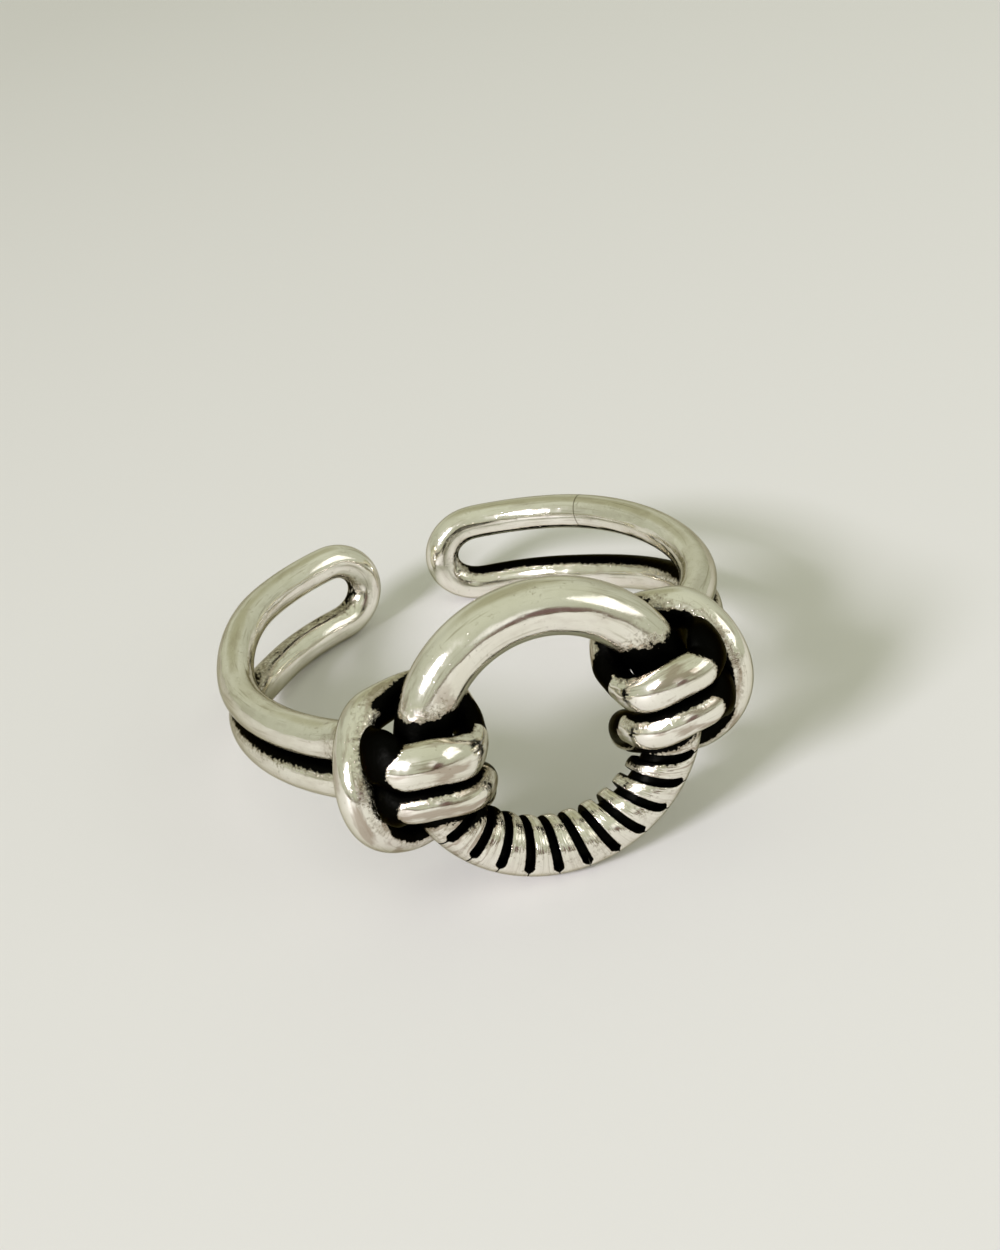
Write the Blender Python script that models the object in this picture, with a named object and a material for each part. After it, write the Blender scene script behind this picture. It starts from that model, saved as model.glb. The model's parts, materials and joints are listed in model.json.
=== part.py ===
"""Adjustable open silver finger ring: a bound centre ring with two hitched wire loops.

The model is drawn in the band frame, in millimetres: the centre ring lies in the plane y = 0
around the origin, x runs across the finger, y runs from the front of the ring to its open
back, and z runs along the finger. The whole model is then leaned back onto the three places
that it rests on, and scaled to metres. The left loop is drawn at -x, and the right loop is
the same drawing with its own bend, mirrored to +x.
"""
import math

import bpy
import numpy as np
from mathutils import Matrix

MM = 0.001

# Centre ring: a closed round-wire ring, drawn down to a thin core where it is bound
RING_RADIUS = 4.6          # to the middle of the wire
RING_WIRE_R = 1.04         # bare wire, upper half and under the knots
CORE_R = 0.70              # drawn-down core under the binding
NECK_START = 190.0         # ring angle where the core begins, degrees, past the left knot
NECK_END = 352.0           # ring angle where the core ends, before the right knot
NECK_SLOPE = 2.0           # degrees over which the wire thins
RING_STATIONS = 72
RING_SIDES = 14

# Binding wire: one flattened wire wound round the core, side by side turns
BIND_OUTER_R = 1.12
BIND_INNER_R = 0.77
BIND_SHOULDER_R = 0.94
BIND_PITCH = 12.15         # degrees of ring angle for each turn
BIND_FIRST = 201.6         # ring angle of the first turn's middle, at the front
BIND_START = -0.2         # the wire's ends, in turns from the first turn's middle
BIND_END = 11.3
BIND_GAP = 0.22            # between two turns at the front, back and inside
BIND_GAP_OUTSIDE = 0.07    # between two turns on the ring's outside, where they are pressed together
BIND_PHASE = 120.0         # tube angle of the front, where the turns are evenly spaced
BIND_LEAN_FIRST = -1.1     # extra lean of the first turn, degrees of ring angle
BIND_LEAN_STEP = 0.42      # extra lean gained with each turn
BIND_STEPS = 18            # stations for each turn

# Hitch of each loop on the centre ring, in its knot frame: u outward, v to the front, z up
KNOT_YAW = 8.0             # each knot faces this many degrees outward
WRAP_R = 1.79              # middle of a wrap to the middle of the ring's wire, front and outer side
WRAP_INNER_R = 1.74        # the same on the inner side, where the wrap hugs the wire
WRAP_BEHIND_R = 1.98       # the same behind the wire, where the two wraps spread apart
WRAP_HALF_THICK = 0.57
WRAP_HALF_WIDTH = 0.69
WRAP_Z = 0.74              # half of the spacing of the two wraps
BIGHT_REACH = 2.52         # outermost middle of the bight, from the ring's wire
BIGHT_HALF_HEIGHT = 2.52
BIGHT_SHOULDER_U = 1.2
BIGHT_SHOULDER_V = -1.13
BIGHT_R = 0.75
WRAP_BEGIN = -105.0        # angle round the ring's wire where a strand begins, behind the wire
WRAP_END = -360.0          # the same where it leaves the wire, on the outer side
WRAP_DROP_OVER = 82.0      # angle over which a strand comes down from behind to its wrap
WRAP_KEYS = 20
BEND_KEYS = 5
KNOT_NEAR = 0.2            # beyond its wrap's middle a strand starts to grow from wrap to shank
KNOT_FAR = 1.7             # and has the shank's size from here on
BIGHT_TURN = -68.0         # angle round the ring's wire where the bight's side turns in behind it
BIGHT_THINS_FROM = 0.50    # shares of the way to the bight's ends: it thins to the wraps' thickness
BIGHT_THINS_TO = 0.75
BIGHT_TAIL_FROM = 0.88     # and its last part tapers inside the strand it is soldered to
BIGHT_TAIL = 0.25
BIGHT_STATIONS = 30
BIGHT_CORNER_KEYS = 8
SHARP_ANGLE = 50.0         # edges sharper than this are creased

# Shanks: two strands of the same wire, side by side, opening into a hairpin at the tip
STRAND_R = 0.75
STRAND_Z = 0.80            # half of the spacing of the two strands
BAND_CENTRE_Y = 9.5        # centre of the finger
JOIN_ANGLE = 222.0         # band angle where the knot has become the plain shank
# roll: turn of the knot round the centre ring, degrees; forward: how far forward the bight's
# middle stands; behind: height of a strand where it passes behind the ring's wire;
# bend: band radius as a cubic of (angle - 180) / 70; tip: band angle of the turn's middle;
# slot: half width of the hairpin; opens: band angle where the strands part; spread: angle
# over which they part; rise: height of the tip over the knot
LEFT = dict(side=-1.0, roll=3.4, forward=0.70, behind=2.30, bend=(9.97, -0.48, 0.41, 0.51),
            tip=116.6, slot=1.47, opens=181.0, spread=40.0, rise=0.30)
RIGHT = dict(side=1.0, roll=0.2, forward=0.15, behind=2.05, bend=(9.21, -1.22, 0.08, 0.34),
             tip=103.4, slot=1.49, opens=193.0, spread=68.0, rise=0.0)
SHANK_KEYS = 24
TURN_KEYS = 11
LOOP_STATIONS = 101        # along a loop's whole run of strands
STRAND_SIDES = 12

# Resting pose: the ring leans back until its hairpins touch the surface that it lies on
REST_TILT = 10.67
REST_ROLL = -3.45

SILVER = (0.80, 0.79, 0.76, 1.0)
DARK_SILVER = (0.62, 0.61, 0.58, 1.0)


def clear_scene():
    for old in list(bpy.data.objects):
        bpy.data.objects.remove(old, do_unlink=True)


def silver(name, colour, roughness):
    material = bpy.data.materials.new(name)
    material.use_nodes = True
    shader = material.node_tree.nodes["Principled BSDF"]
    shader.inputs["Base Color"].default_value = colour
    shader.inputs["Metallic"].default_value = 1.0
    shader.inputs["Roughness"].default_value = roughness
    return material


def ease(t):
    """Smooth step from 0 to 1."""
    t = np.clip(t, 0.0, 1.0)
    return t * t * (3.0 - 2.0 * t)


def unit(rows):
    return rows / np.linalg.norm(rows, axis=-1, keepdims=True)


def smooth_route(keys, per_key):
    """Catmull-Rom curve through the rows of keys, with per_key stations for each span."""
    keys = np.asarray(keys, float)
    keys = np.vstack([2 * keys[0] - keys[1], keys, 2 * keys[-1] - keys[-2]])
    rows = []
    for i in range(1, len(keys) - 2):
        a, b, c, d = keys[i - 1:i + 3]
        t = np.linspace(0.0, 1.0, per_key, endpoint=False)[:, None]
        rows.append(0.5 * (2 * b + (c - a) * t + (2 * a - 5 * b + 4 * c - d) * t ** 2
                           + (3 * b - a - 3 * c + d) * t ** 3))
    rows.append(keys[-2][None])
    return np.vstack(rows)


def even_stations(route, count):
    """The same route, with count rows at equal distances along its first three columns."""
    steps = np.linalg.norm(np.diff(route[:, :3], axis=0), axis=1)
    along = np.concatenate([[0.0], np.cumsum(steps)])
    at = np.linspace(0.0, along[-1], count)
    return np.column_stack([np.interp(at, along, column) for column in route.T])


def mesh_object(name, verts, faces, material, parent):
    """A named object whose mesh is given in the band frame, hung on an empty."""
    local = parent["to_local"] @ np.column_stack([verts, np.ones(len(verts))]).T
    mesh = bpy.data.meshes.new(name)
    mesh.from_pydata([tuple(v * MM) for v in local.T[:, :3]], [], [tuple(f) for f in faces])
    mesh.update()
    mesh.shade_smooth()
    mesh.set_sharp_from_angle(angle=math.radians(SHARP_ANGLE))
    mesh.materials.append(material)
    thing = bpy.data.objects.new(name, mesh)
    bpy.context.collection.objects.link(thing)
    thing.parent = parent["empty"]
    return thing


def skin(rings, closed):
    """Vertices and quads over a list of equal rings; an open run gets a cap at each end."""
    count, sides = len(rings), len(rings[0])
    verts = np.vstack(rings)
    faces = []
    for i in range(count if closed else count - 1):
        j = (i + 1) % count
        for k in range(sides):
            m = (k + 1) % sides
            faces.append((i * sides + k, i * sides + m, j * sides + m, j * sides + k))
    if not closed:
        faces.append(tuple(range(sides - 1, -1, -1)))
        faces.append(tuple(range((count - 1) * sides, count * sides)))
    return verts, faces


def sweep(route, normals, half_width, half_thick, sides):
    """Elliptical wire along a route: half_thick lies along the normals, half_width across."""
    tangents = unit(np.gradient(route, axis=0))
    across = unit(np.cross(tangents, normals))
    normals = np.cross(across, tangents)
    angles = np.arange(sides) * 2.0 * math.pi / sides
    half_width = np.broadcast_to(half_width, len(route))
    half_thick = np.broadcast_to(half_thick, len(route))
    rings = []
    for p, n, b, w, t in zip(route, normals, across, half_width, half_thick):
        rings.append(p + np.outer(np.cos(angles) * t, n) + np.outer(np.sin(angles) * w, b))
    return skin(rings, closed=False)


# ---------------------------------------------------------------- centre ring and binding

def ring_point(angle, tube_angle, radius):
    """Point on the centre ring's wire: tube_angle 0 faces outward, 90 faces the front."""
    a, b = math.radians(angle), math.radians(tube_angle)
    out = RING_RADIUS + radius * math.cos(b)
    return (out * math.cos(a), -radius * math.sin(b), out * math.sin(a))


def ring_wire_radius(angle):
    """Wire radius at a ring angle: it thins to the core between the two knots."""
    into = ease((angle - NECK_START) / NECK_SLOPE) * ease((NECK_END - angle) / NECK_SLOPE)
    return RING_WIRE_R + (CORE_R - RING_WIRE_R) * into


def centre_ring(material, parent):
    bare = np.linspace(NECK_END - 360.0, NECK_START, RING_STATIONS * 5 // 8)
    slopes = [NECK_START + NECK_SLOPE, NECK_END - NECK_SLOPE]
    core = np.linspace(slopes[0], slopes[1], RING_STATIONS * 3 // 8)
    sides = np.arange(RING_SIDES) * 360.0 / RING_SIDES
    rings = []
    for angle in list(bare[:-1]) + [NECK_START] + list(core):
        radius = ring_wire_radius(angle)
        rings.append(np.array([ring_point(angle, -b, radius) for b in sides]))
    verts, faces = skin(rings, closed=True)
    return mesh_object("centre_ring", verts, faces, material, parent)


def binding_wire(material, parent):
    """One flat wire in a spiral round the core, its turns a fixed gap apart."""
    section = [(1.0, BIND_INNER_R), (1.0, BIND_SHOULDER_R), (0.55, BIND_OUTER_R - 0.05),
               (0.0, BIND_OUTER_R), (-0.55, BIND_OUTER_R - 0.05), (-1.0, BIND_SHOULDER_R),
               (-1.0, BIND_INNER_R)]
    rings = []
    for turn in np.linspace(BIND_START, BIND_END, int((BIND_END - BIND_START) * BIND_STEPS)):
        tube_angle = BIND_PHASE - 360.0 * turn
        lean = BIND_LEAN_FIRST + BIND_LEAN_STEP * turn
        middle = BIND_FIRST + BIND_PITCH * turn + lean * math.sin(math.radians(360.0 * turn))
        outside = ease(1.0 + 2.5 * (math.cos(math.radians(tube_angle)) - 0.8))
        gap = BIND_GAP + (BIND_GAP_OUTSIDE - BIND_GAP) * outside
        ring = []
        for across, radius in section:
            reach = RING_RADIUS + radius * math.cos(math.radians(tube_angle))
            half = BIND_PITCH / 2.0 - math.degrees(gap / 2.0 / reach)
            ring.append(ring_point(middle + across * half, tube_angle, radius))
        rings.append(np.array(ring))
    verts, faces = skin(rings, closed=False)
    return mesh_object("binding_wire", verts, faces, material, parent)


# ---------------------------------------------------------------- hitched loops

def knot_matrix(shape):
    """Knot frame to band frame: u outward, v to the front, z along the ring's wire."""
    side, yaw, roll = shape["side"], math.radians(KNOT_YAW), math.radians(shape["roll"])
    u = np.array([side * math.cos(yaw), math.sin(yaw), 0.0])
    v = np.array([side * math.sin(yaw), -math.cos(yaw), 0.0])
    turn = np.array([[math.cos(roll), 0.0, -math.sin(roll)], [0.0, 1.0, 0.0],
                     [math.sin(roll), 0.0, math.cos(roll)]])
    frame = np.eye(4)
    frame[:3, 0], frame[:3, 1], frame[:3, 2] = turn @ u, turn @ v, turn @ [0.0, 0.0, 1.0]
    frame[:3, 3] = turn @ [side * RING_RADIUS, 0.0, 0.0]
    return frame


def pivot_matrix(shape):
    """Frame of the joint: its z axis runs along the ring's wire, its x axis outward."""
    frame = knot_matrix(shape)
    frame[:3, 1] = np.cross(frame[:3, 2], frame[:3, 0])
    return frame


def to_band(points, shape):
    frame = knot_matrix(shape)
    return points @ frame[:3, :3].T + frame[:3, 3]


def band_point(shape, angle):
    """Middle of the shank at a band angle, and the direction away from the finger."""
    t = (angle - 180.0) / 70.0
    c0, c1, c2, c3 = shape["bend"]
    radius = c0 + c1 * t + c2 * t * t + c3 * t ** 3
    away = np.column_stack([-shape["side"] * np.cos(np.radians(angle)), np.sin(np.radians(angle)),
                            np.zeros_like(angle)])
    return away * radius[:, None] + [0.0, BAND_CENTRE_Y, 0.0], away


def on_wrap(around, height):
    """Points in the knot frame beside the ring's curved wire, and the way out from it."""
    behind = ease((around + math.pi) / math.radians(70.0))
    inner = ease(1.0 - abs(around + math.pi) / math.radians(70.0))
    radius = WRAP_R + (WRAP_BEHIND_R - WRAP_R) * behind + (WRAP_INNER_R - WRAP_R) * inner
    reach = RING_RADIUS + radius * np.cos(around)
    along = np.arcsin(height / reach)
    points = np.column_stack([reach * np.cos(along) - RING_RADIUS, radius * np.sin(around), height])
    out = np.column_stack([np.cos(around) * np.cos(along), np.sin(around),
                           np.cos(around) * np.sin(along)])
    return points, out


def wrap_half(shape, sign):
    """One strand in the knot frame, from behind the ring's wire round to its outer side."""
    turn = np.linspace(WRAP_BEGIN, WRAP_END, WRAP_KEYS)
    drop = ease((WRAP_BEGIN - turn) / WRAP_DROP_OVER)
    height = sign * (shape["behind"] + (WRAP_Z - shape["behind"]) * drop)
    return on_wrap(np.radians(turn), height)


def shank_half(shape, sign):
    """One strand of the shank, from the knot to the start of the turn at the tip."""
    angle = np.linspace(JOIN_ANGLE, shape["tip"], SHANK_KEYS)
    points, away = band_point(shape, angle)
    spacing = STRAND_Z + (shape["slot"] - STRAND_Z) * ease((shape["opens"] - angle) / shape["spread"])
    lift = shape["rise"] * ease((JOIN_ANGLE - angle) / (JOIN_ANGLE - shape["tip"]))
    points[:, 2] = lift + sign * spacing
    return points, away


def tip_turn(shape):
    """The hairpin's round turn, from the upper strand to the lower one."""
    around = np.linspace(math.pi / 2, -math.pi / 2, TURN_KEYS)
    reach = np.degrees(shape["slot"] * np.cos(around) / (shape["bend"][0] - 0.5))
    points, away = band_point(shape, shape["tip"] - reach)
    points[:, 2] = shape["rise"] + shape["slot"] * np.sin(around)
    return points, away


def easy_bend(before, start, end, after):
    """Points from start to end that leave and arrive in the directions of their neighbours."""
    reach = np.linalg.norm(end - start)
    leave, arrive = reach * unit(start - before), reach * unit(after - end)
    t = np.linspace(0.0, 1.0, BEND_KEYS + 2)[1:-1, None]
    return (start * (2 * t ** 3 - 3 * t ** 2 + 1) + leave * (t ** 3 - 2 * t ** 2 + t)
            + end * (3 * t ** 2 - 2 * t ** 3) + arrive * (t ** 3 - t ** 2))


def loop_strands(shape):
    """Both strands in one run: from behind the ring, over a wrap, to the tip and back."""
    halves = []
    frame = knot_matrix(shape)
    share = np.linspace(0.0, 1.0, BEND_KEYS + 2)[1:-1, None]
    for sign in (1.0, -1.0):
        wrap, out = wrap_half(shape, sign)
        wrap, out = to_band(wrap, shape)[:-1], (out @ frame[:3, :3].T)[:-1]
        shank, away = shank_half(shape, sign)
        bend = easy_bend(wrap[-2], wrap[-1], shank[0], shank[1])
        turning = unit(out[-1] * (1.0 - share) + away[0] * share)
        keys = np.vstack([wrap, bend, shank])
        halves.append(np.column_stack([keys, np.vstack([out, turning, away])]))
    turn, away = tip_turn(shape)
    keys = np.vstack([halves[0], np.column_stack([turn, away])[1:-1], halves[1][::-1]])
    return smooth_route(keys, 4)


def off_ring(points):
    """Directions straight away from the middle of the centre ring's wire."""
    flat = points * [1.0, 0.0, 1.0]
    return unit(points - unit(flat) * RING_RADIUS)


def bight_route(shape):
    """The closed end of the loop: a C outside the ring, its ends behind the ring's wire."""
    quarter = np.radians(np.linspace(0.0, 90.0, BIGHT_CORNER_KEYS))
    u = BIGHT_SHOULDER_U + (BIGHT_REACH - BIGHT_SHOULDER_U) * np.cos(quarter)
    v = shape["forward"] + (BIGHT_SHOULDER_V - shape["forward"]) * ease(quarter / quarter[-1])
    z = BIGHT_HALF_HEIGHT * np.sin(quarter)
    turning = on_wrap(np.radians([BIGHT_TURN]), np.array([BIGHT_HALF_HEIGHT]))[0]
    behind = wrap_half(shape, 1.0)[0]
    half = np.vstack([np.column_stack([u, v, z]), turning, behind[0:3:2]])
    keys = np.vstack([(half * [1.0, 1.0, -1.0])[:0:-1], half])
    return smooth_route(to_band(keys, shape), 4)


def hitched_loop(name, shape, material, parent):
    """A closed loop of wire hitched on the centre ring, soldered where its strands cross."""
    run = even_stations(loop_strands(shape), LOOP_STATIONS)
    route, normals = run[:, :3], unit(run[:, 3:])
    knot = to_band(np.zeros((1, 3)), shape)[0]
    off_knot = np.linalg.norm((route - knot)[:, :2], axis=1) - WRAP_R
    near = 1.0 - ease((off_knot - KNOT_NEAR) / (KNOT_FAR - KNOT_NEAR))
    thick = STRAND_R + (WRAP_HALF_THICK - STRAND_R) * near
    width = STRAND_R + (WRAP_HALF_WIDTH - STRAND_R) * near
    strands = mesh_object(name, *sweep(route, normals, width, thick, STRAND_SIDES), material, parent)

    route = even_stations(bight_route(shape), BIGHT_STATIONS)
    ends = np.abs(np.linspace(-1.0, 1.0, BIGHT_STATIONS))
    tail = BIGHT_TAIL * ease((ends - BIGHT_TAIL_FROM) / (1.0 - BIGHT_TAIL_FROM))
    thin = ease((ends - BIGHT_THINS_FROM) / (BIGHT_THINS_TO - BIGHT_THINS_FROM))
    thick = BIGHT_R + (WRAP_HALF_THICK - BIGHT_R) * thin - tail
    bight = mesh_object(name + "_bight", *sweep(route, off_ring(route), BIGHT_R - tail, thick,
                                                STRAND_SIDES), material, parent)
    bight.hide_render = True
    bight.display_type = "WIRE"
    join = strands.modifiers.new("soldered", "BOOLEAN")
    join.operation = "UNION"
    join.solver = "EXACT"
    join.object = bight
    return strands


# ---------------------------------------------------------------- assembly

def frame_empty(name, matrix, parent):
    """An empty at a frame given in the band frame, with the way into that frame."""
    empty = bpy.data.objects.new(name, None)
    bpy.context.collection.objects.link(empty)
    empty.empty_display_size = 2 * MM
    local = Matrix(matrix.tolist())
    local.translation = local.translation * MM
    empty.matrix_local = local
    if parent:
        empty.parent = parent["empty"]
    return {"empty": empty, "to_local": np.linalg.inv(matrix)}


def stand_on_origin(root):
    """Move the whole model so that the bottom centre of its box is the origin."""
    bpy.context.view_layer.update()
    shown = [o for o in bpy.data.objects if o.type == "MESH" and not o.hide_render]
    corners = np.array([o.matrix_world @ v.co for o in shown for v in o.data.vertices])
    low, high = corners.min(axis=0), corners.max(axis=0)
    root.location = (-(low[0] + high[0]) / 2.0, -(low[1] + high[1]) / 2.0, -low[2])


def main():
    clear_scene()
    band = frame_empty("finger_ring", np.eye(4), None)
    centre_ring(silver("bright_silver", SILVER, 0.12), band)
    binding_wire(silver("bound_silver", DARK_SILVER, 0.22), band)
    for name, shape in (("left_loop", LEFT), ("right_loop", RIGHT)):
        pivot = frame_empty(name + "_pivot", pivot_matrix(shape), band)
        hitched_loop(name, shape, silver(name + "_silver", SILVER, 0.14), pivot)
    band["empty"].rotation_euler = (math.radians(-REST_TILT), math.radians(REST_ROLL), 0.0)
    stand_on_origin(band["empty"])
    bpy.context.view_layer.update()


main()
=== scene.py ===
"""Looks of the adjustable silver finger ring: fine wires, dark recesses, studio and camera.

Shapes are drawn in the band frame, in millimetres, as the CAD model's are: the centre ring lies
in the plane y = 0, x runs across the finger, y runs to the open back, z runs along the finger.
The band frame is placed in the world from the left joint's position.

Each knot has a frame of its own: u points outward, v to the front, and z along the ring's wire.
Angles round the ring's wire, in a knot, are 0 on the outer side and 90 at the front. The tube
angles of the centre ring and its binding are measured the same way.
"""
import json
import math

import bpy
import numpy as np
from mathutils import Matrix, Vector
from mathutils.bvhtree import BVHTree


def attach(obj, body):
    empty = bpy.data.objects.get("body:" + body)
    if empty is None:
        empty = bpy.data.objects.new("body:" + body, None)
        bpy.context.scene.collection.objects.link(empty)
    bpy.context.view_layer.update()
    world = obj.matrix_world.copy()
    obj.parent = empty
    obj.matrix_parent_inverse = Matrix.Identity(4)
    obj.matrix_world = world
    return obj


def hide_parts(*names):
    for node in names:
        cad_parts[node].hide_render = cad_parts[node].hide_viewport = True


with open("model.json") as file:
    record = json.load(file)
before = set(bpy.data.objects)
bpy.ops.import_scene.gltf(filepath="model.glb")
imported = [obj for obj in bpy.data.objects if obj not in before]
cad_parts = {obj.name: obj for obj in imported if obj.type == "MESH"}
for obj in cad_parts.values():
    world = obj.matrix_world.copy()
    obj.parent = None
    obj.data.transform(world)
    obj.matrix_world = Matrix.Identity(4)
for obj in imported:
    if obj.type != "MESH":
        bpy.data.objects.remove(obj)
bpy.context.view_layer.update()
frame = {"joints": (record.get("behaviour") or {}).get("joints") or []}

MM = 0.001

# Centre ring, mm and degrees of ring angle
RING_RADIUS = 4.6
RING_WIRE_R = 1.04
CORE_R = 0.78              # drawn-down core under the binding
NECK_START = 192.0         # where the core begins, past the left knot
NECK_END = 351.0           # where it ends, before the right knot
NECK_SLOPE = 2.0           # over which the wire thins

# Binding wire: one flattened wire wound round the core
BIND_OUTER_R = 1.12
BIND_SHOULDER_R = 1.05     # the wire's crowned top falls towards this at its shoulders
BIND_ROOT_R = 0.74
BIND_TOP = 0.86            # share of the wire's width that is top, the rest is its rounded corners
BIND_CROWN = 0.55          # share of the fall to the shoulder that the top takes
BIND_CROWN_POWER = 2.2
BIND_CORNER_FALL = 0.13    # more that the corners fall where a groove is open
BIND_CORNER_LEAST = 0.004  # and where it is closed
BIND_PITCH = 12.15         # ring angle for each turn
BIND_FIRST = 201.6         # ring angle of the first turn's middle, at the front
BIND_START, BIND_END = -0.6, 11.6         # the wire's ends, in turns from the first turn's middle
BIND_PHASE = 120.0         # tube angle where the turns are evenly spaced
BIND_LEAN_FIRST, BIND_LEAN_STEP = -1.1, 0.42
BIND_GAP = 0.30            # width of an open groove
BIND_GAP_CLOSED = 0.014    # and of a closed one, on the ring's outside
BIND_CLOSES, BIND_OPENS = 52.0, 62.0      # tube angles between which a groove's end rounds off
BIND_ROUNDS_SOONER = 1.4   # how much sooner than the groove opens its corners are round
PRESSED = 0.07             # how far the turns are pressed in behind, where the loops pass close
PRESSED_LEFT, PRESSED_RIGHT = (232.0, 224.0), (318.0, 326.0)    # from none to all of it
PRESSED_FACING = (0.0, 0.5)               # sines of how far back the place faces, none to all

# Knots: a hitch of each loop on the centre ring, made of two wraps and the bight outside them
KNOT_YAW = 8.0             # each knot faces this many degrees outward
WRAP_R = 1.76              # middle of a wrap to the middle of the ring's wire
WRAP_BEHIND_R = 1.82
WRAP_BEHIND_BY = -110.0    # angle where a wrap has its place behind the wire
WRAP_HUG_WITHIN = 80.0     # degrees each way from the inner side, where a wrap hugs the wire
WRAP_BULGE_FROM, WRAP_BULGE_TURN = -198.0, 95.0
WRAP_HALF_THICK, WRAP_INNER_THICK, WRAP_BEHIND_THICK = 0.57, 0.56, 0.71
WRAP_HALF_WIDTH, WRAP_BEHIND_HALF_WIDTH = 0.69, 0.60
WRAP_Z = 0.74              # half of the spacing of the two wraps
WRAP_BEGIN, WRAP_END = -105.0, -360.0     # angles where a strand's wrap begins and ends
WRAP_DROP_FROM = -114.0    # angle where a strand begins to come down from behind to its wrap
WRAP_DROP_OVER = 108.0
TILT_SINES = (-0.2, 0.6)   # sines of the angle between which a wrap takes up its tilt
SHOULDER_COSINES = (0.55, 0.90)           # cosines between which the upper wrap has its shoulder
SHOULDER_WIDER, SHOULDER_UP = 0.24, 0.34  # where it passes under the bight
SHOULDER_U, SHOULDER_V = (0.9, 1.4), (-0.8, 0.0)
INNER_SIDE, BACK_SIDE, FRONT_SIDE = (0.2, 1.2), (0.3, 1.1), (0.1, 1.3)    # mm, none to all
KNOT_NEAR = 0.2            # beyond its wrap's middle a strand starts to grow from wrap to shank
KNOT_FAR = 1.7             # and has the shank's size from here on
BIGHT_REACH = 2.52         # outermost middle of the bight, from the ring's wire
BIGHT_HALF_HEIGHT = 2.52
BIGHT_SHOULDER_U, BIGHT_SHOULDER_V = 1.2, -1.13
BIGHT_TURN = -68.0         # angle where the bight's side turns in behind the ring's wire
BIGHT_R = 0.75
BIGHT_THINS = (0.50, 0.75)                # shares of the way to its ends: it thins to the wraps'
BIGHT_TAIL_FROM, BIGHT_TAIL = 0.88, 0.25  # its last part tapers inside the strand it is soldered to

# Shanks: two strands of the same wire, side by side, opening into a hairpin at the tip
STRAND_R = 0.75
STRAND_Z = 0.80            # half of the spacing of the two strands
BAND_CENTRE_Y = 9.5        # centre of the finger
BEND_FROM, BEND_SCALE = 180.0, 70.0       # a shank's radius is a cubic of (angle - from) / scale
JOIN_ANGLE = 222.0         # band angle where the knot has become the plain shank
TIP_CLOSER = 0.5           # how much nearer the finger's middle a hairpin's turn is than mid-shank
REST_TILT, REST_ROLL = 10.67, -3.45       # how the ring lies

# bend: the cubic of the shank's radius; forward, behind: the bight's place in front, and half of
# the strands' spacing behind the ring; slot, opens, spread: half of the hairpin's spacing, where
# it opens and over how many degrees; rise: how much higher the shank's tip is than its start;
# hug: distance of the upper and the lower wrap from the ring's wire on the inner side;
# lift: how much higher the wraps sit in front and outside than on the inner side;
# widths: half widths of the upper and the lower wrap in front;
# tilts: how far the two wraps' front faces lean back, degrees;
# skew: how much the wraps bulge at the front inner corner;
# wrap_black: angle round the ring's wire up to which the wraps have kept their black;
# bight_back: height above which more of the bight has kept its black;
# bight_black: how squarely the bight's surface must face the knot to have kept its black, where 1
# is straight at it; slot_black: the same for the upper and the lower strand and the other strand
LEFT = dict(side=-1.0, roll=3.4, forward=0.70, behind=2.30, bend=(9.97, -0.48, 0.41, 0.51),
            tip=116.6, slot=1.47, opens=181.0, spread=40.0, rise=0.30, hug=(1.74, 1.62), lift=0.53,
            widths=(0.83, 0.62), tilts=(17.0, 3.0), skew=0.0, wrap_black=55.0, bight_back=2.4,
            bight_black=0.33, slot_black=(0.95, 1.02))
RIGHT = dict(side=1.0, roll=0.2, forward=0.15, behind=2.05, bend=(9.21, -1.22, 0.08, 0.34),
             tip=103.4, slot=1.49, opens=193.0, spread=68.0, rise=0.0, hug=(1.64, 1.64), lift=0.46,
             widths=(0.73, 0.68), tilts=(17.0, 9.0), skew=0.12, wrap_black=63.0, bight_back=2.95,
             bight_black=0.08, slot_black=(0.88, 0.76))

# Fineness of the surfaces
RING_STATIONS, RING_SIDES = 400, 56
BIND_STEPS = 84            # stations for each turn of the binding
BIND_TOP_KEYS, BIND_CORNER_KEYS = 7, 4
WRAP_KEYS, BEND_KEYS, SHANK_KEYS, TIP_KEYS, BIGHT_CORNER_KEYS = 36, 10, 40, 17, 10
KEY_POINTS = 12            # points of a smooth route for each of its keys
STATION_STEP = 0.12
EVEN_PASSES = 6
STRAND_SIDES = 40

# Recesses: how much of a point's outlook the wires around it close off
RAYS = 48
RAY_REACH = 1.6
RAY_START = 0.02
RAY_FADE = 0.6             # how much less a wire at full reach counts than one close by
MOSTLY_LEVEL = 0.8         # height of a unit normal under which it isn't near vertical
BLACK_FROM = 0.13          # recess value from which the silver has stayed black
KEPT_RECESS = 2.0 * BLACK_FROM            # recess value of a place that is kept black
RUBBED_RECESS = 0.55 * BLACK_FROM         # the most that a rubbed place has

# Places kept black, mm and degrees; each _EDGE is the width over which the black ends
COLLAR = 27.5              # ring angle above a knot's middle up to which the ring is black
COLLAR_INNER = 10.0        # further on the ring's inner side
COLLAR_SIDE = (75.0, 135.0)               # tube angles from the outer side to the inner one
COLLAR_EDGE = 9.0
BINDING_BLACK = (201.0, 344.5)            # ring angles: the binding is black outside them
BINDING_EDGE = 4.0
WRAP_BLACK_CURVE, WRAP_BLACK_EDGE = 16.0, 14.0
KNOT_SIZE, KNOT_INSIDE = 2.9, 2.6         # a knot's outline, and where it is wholly inside
UNDER_BIGHT_V = (-1.6, -0.8)
SLOT_BEHIND, SLOT_EDGE = -2.5, 0.40
BIGHT_TOP_MORE, BIGHT_TOP_FADE = 0.80, 0.7
BIGHT_LOW_MORE, BIGHT_LOW = 0.28, (0.8, 1.8)
BIGHT_EDGE = 0.24
BIGHT_HALO, BIGHT_HALO_OUT, BIGHT_HALO_EDGE = 0.25, 0.3, 0.6    # a faint tarnish beside the black
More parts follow.
